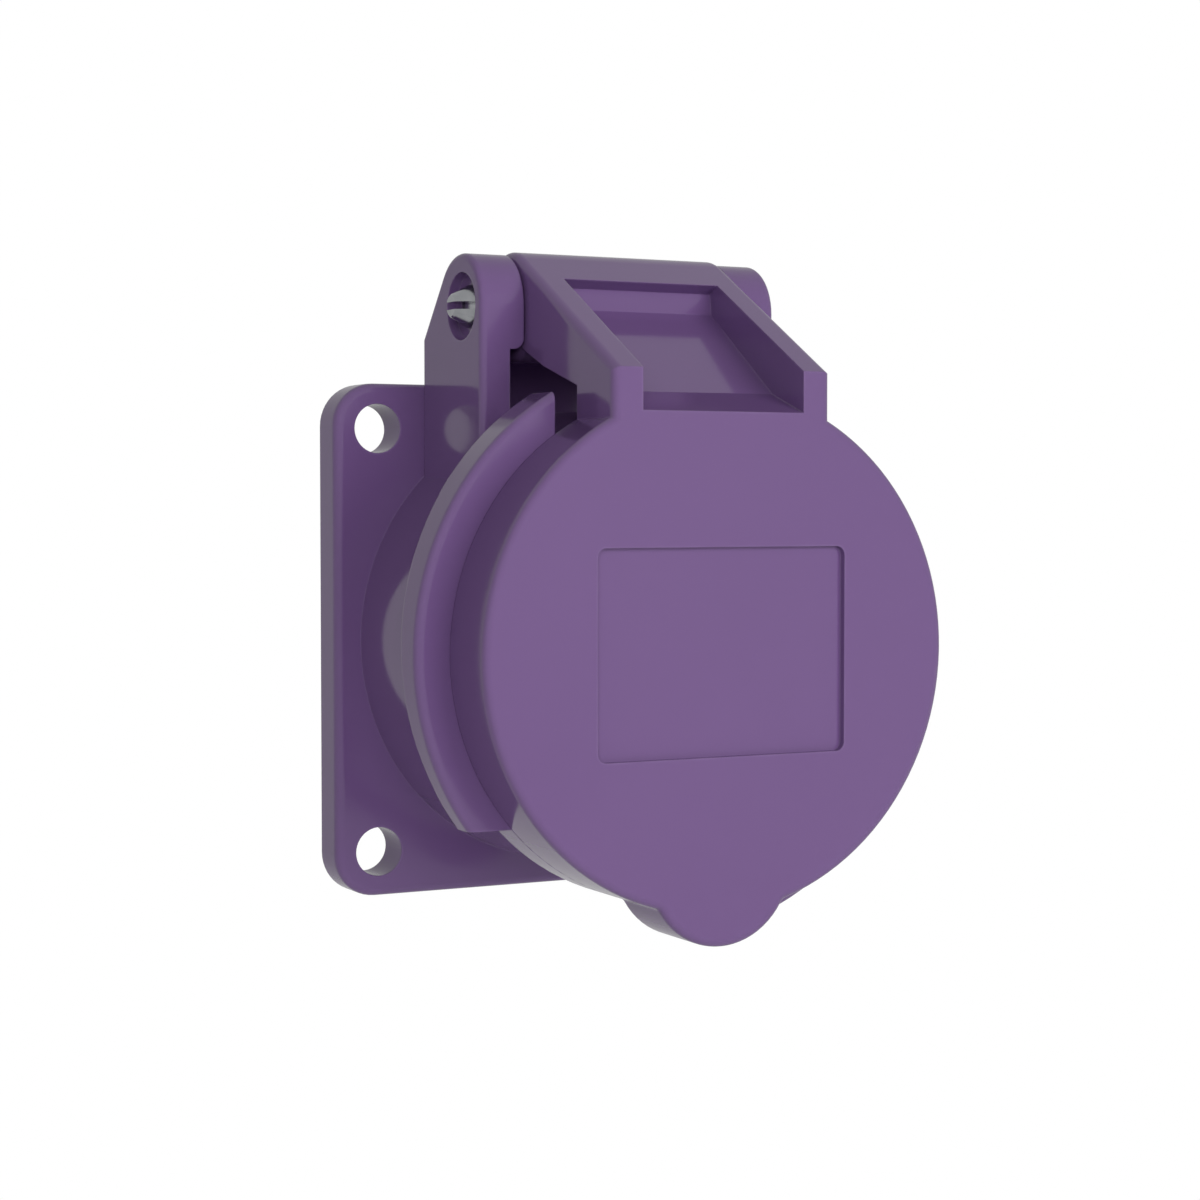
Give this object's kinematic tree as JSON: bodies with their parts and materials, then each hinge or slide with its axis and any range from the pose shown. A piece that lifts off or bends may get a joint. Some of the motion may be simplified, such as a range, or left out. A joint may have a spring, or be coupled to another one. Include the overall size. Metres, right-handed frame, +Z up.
{
  "type": "industrial panel socket",
  "caption": "Violet pin-and-sleeve panel socket for extra-low voltage, with a square flange, a round keyed collar, brass contacts and a sprung hinged lid.",
  "frame": {"origin": "centre of the four mounting holes, on the back face of the flange, where its gasket begins", "axes": "+Y into the panel, +Z up towards the lid's hinge, +X to the right of someone who faces the lid"},
  "size_m": [0.0654, 0.0571, 0.0776],
  "materials": {
    "violet_moulding": "smooth glossy violet moulded polyamide, the code colour for 20 to 25 V",
    "black_rubber": "soft matt sealing rubber",
    "grey_insulator": "satin dark grey glass-filled polyamide",
    "contact_brass": "turned brass, bright on the bore and slightly dulled outside",
    "spring_steel": "drawn stainless spring wire and strip",
    "zinc_plated_steel": "zinc-plated steel",
    "pin_steel": "ground stainless steel with turned conical ends"
  },
  "bodies": {
    "socket": {"socket_housing": "violet_moulding", "flange_gasket": "black_rubber", "hinge_pin": "pin_steel", "hinge_spring": "spring_steel", "contact_carrier": "grey_insulator", "carrier_plate": "grey_insulator", "terminal_holder": "grey_insulator", "terminal_screws": "zinc_plated_steel", "carrier_screws": "zinc_plated_steel", "holder_screw": "zinc_plated_steel", "contact_sleeve_1": "contact_brass", "contact_ring_1": "spring_steel", "clamp_plate_1": "zinc_plated_steel", "contact_sleeve_2": "contact_brass", "contact_ring_2": "spring_steel", "clamp_plate_2": "zinc_plated_steel", "contact_sleeve_3": "contact_brass", "contact_ring_3": "spring_steel", "clamp_plate_3": "zinc_plated_steel"},
    "lid": {"lid": "violet_moulding", "lid_gasket": "black_rubber"}
  },
  "joints": [
    {"name": "lid_hinge", "type": "hinge", "parent": "socket", "child": "lid", "pos_m": [0, -0.0162, 0.03875], "axis": [-1, 0, 0], "range_deg": [0, 115], "stiffness_Nm_per_rad": 0.02, "springref_deg": -57.3, "deforming": ["hinge_spring"]}
  ]
}
